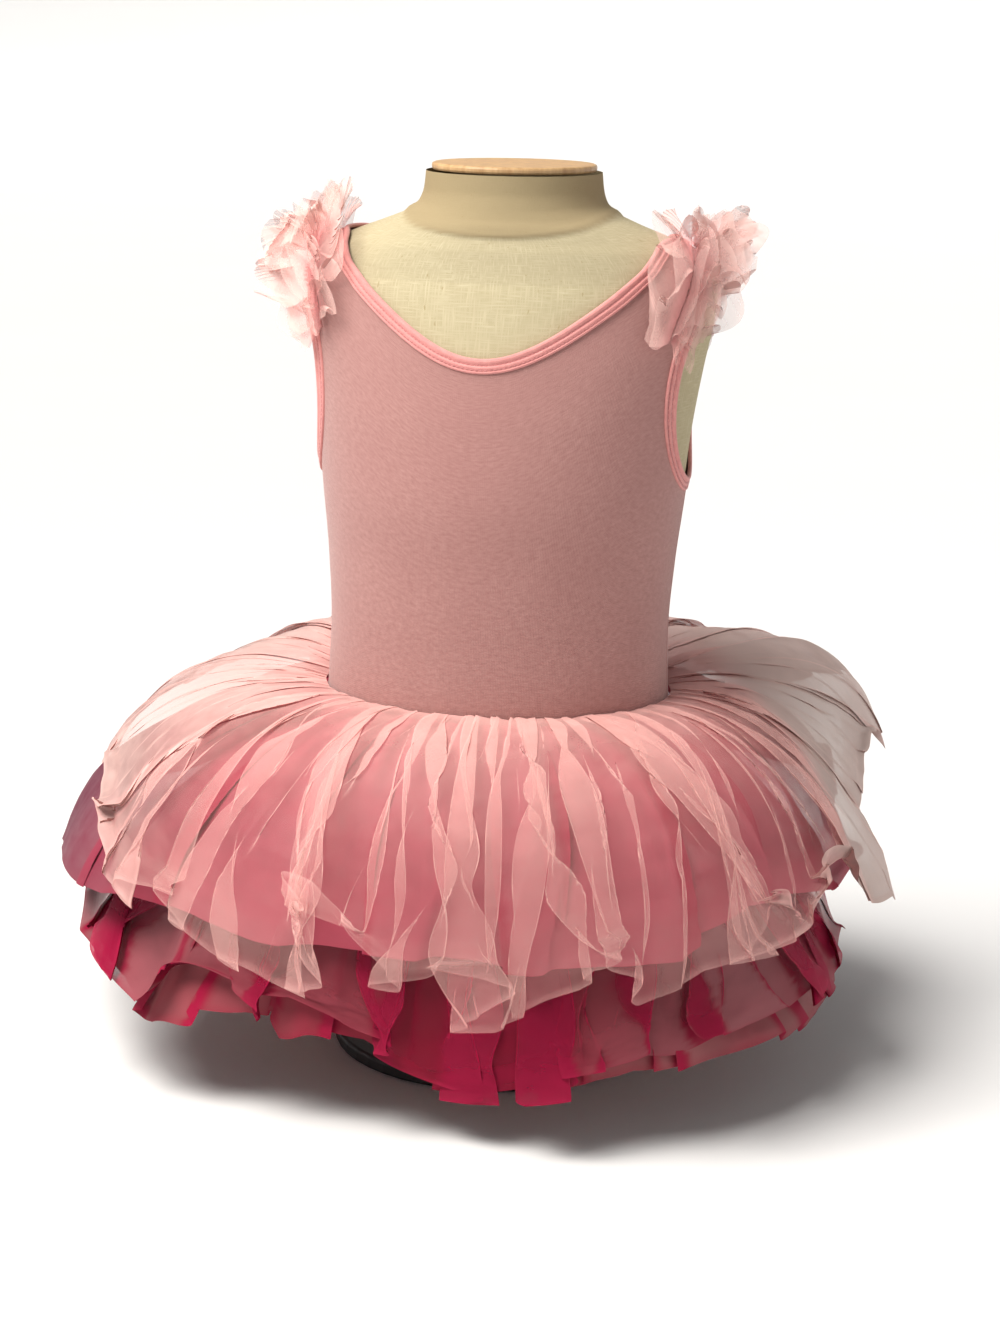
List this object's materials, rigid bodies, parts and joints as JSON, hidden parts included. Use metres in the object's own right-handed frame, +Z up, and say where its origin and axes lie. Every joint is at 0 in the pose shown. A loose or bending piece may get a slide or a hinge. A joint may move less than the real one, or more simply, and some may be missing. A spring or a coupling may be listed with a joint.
{
  "type": "ballet tutu dress on a dress form",
  "caption": "Child's sleeveless tutu dress, jersey bodice with bound edges, layered gathered tulle skirt and shoulder frills, worn by a limbless linen tabletop dress form on a round base.",
  "frame": {"origin": "middle of the base's underside, where the stand rests on a table", "axes": "+Z up, the dress faces -Y, +X is the wearer's left"},
  "size_m": [0.4723, 0.4084, 0.4853],
  "materials": {
    "linen": "slubby natural linen stretched over a shell",
    "wood": "satin",
    "steel": "satin black",
    "jersey": "matte cotton jersey",
    "binding": "matte cotton jersey, folded and twin-stitched",
    "pale_tulle": "sheer soft tulle",
    "rose_tulle": "sheer soft tulle",
    "hot_pink_tulle": "sheer soft tulle"
  },
  "bodies": {
    "root": {"form_torso": "linen", "form_neck_cap": "wood", "form_collar": "wood", "form_pole": "steel", "form_base": "steel", "bodice_front": "jersey", "bodice_back": "jersey", "neck_binding": "binding", "armhole_binding_left": "binding", "armhole_binding_right": "binding", "shoulder_frill_left_outer": "pale_tulle", "shoulder_frill_left_inner": "pale_tulle", "shoulder_frill_right_outer": "pale_tulle", "shoulder_frill_right_inner": "pale_tulle", "skirt_pale": "pale_tulle", "skirt_rose": "rose_tulle", "skirt_hot_pink": "hot_pink_tulle", "skirt_hot_pink_frill": "hot_pink_tulle"}
  },
  "joints": []
}
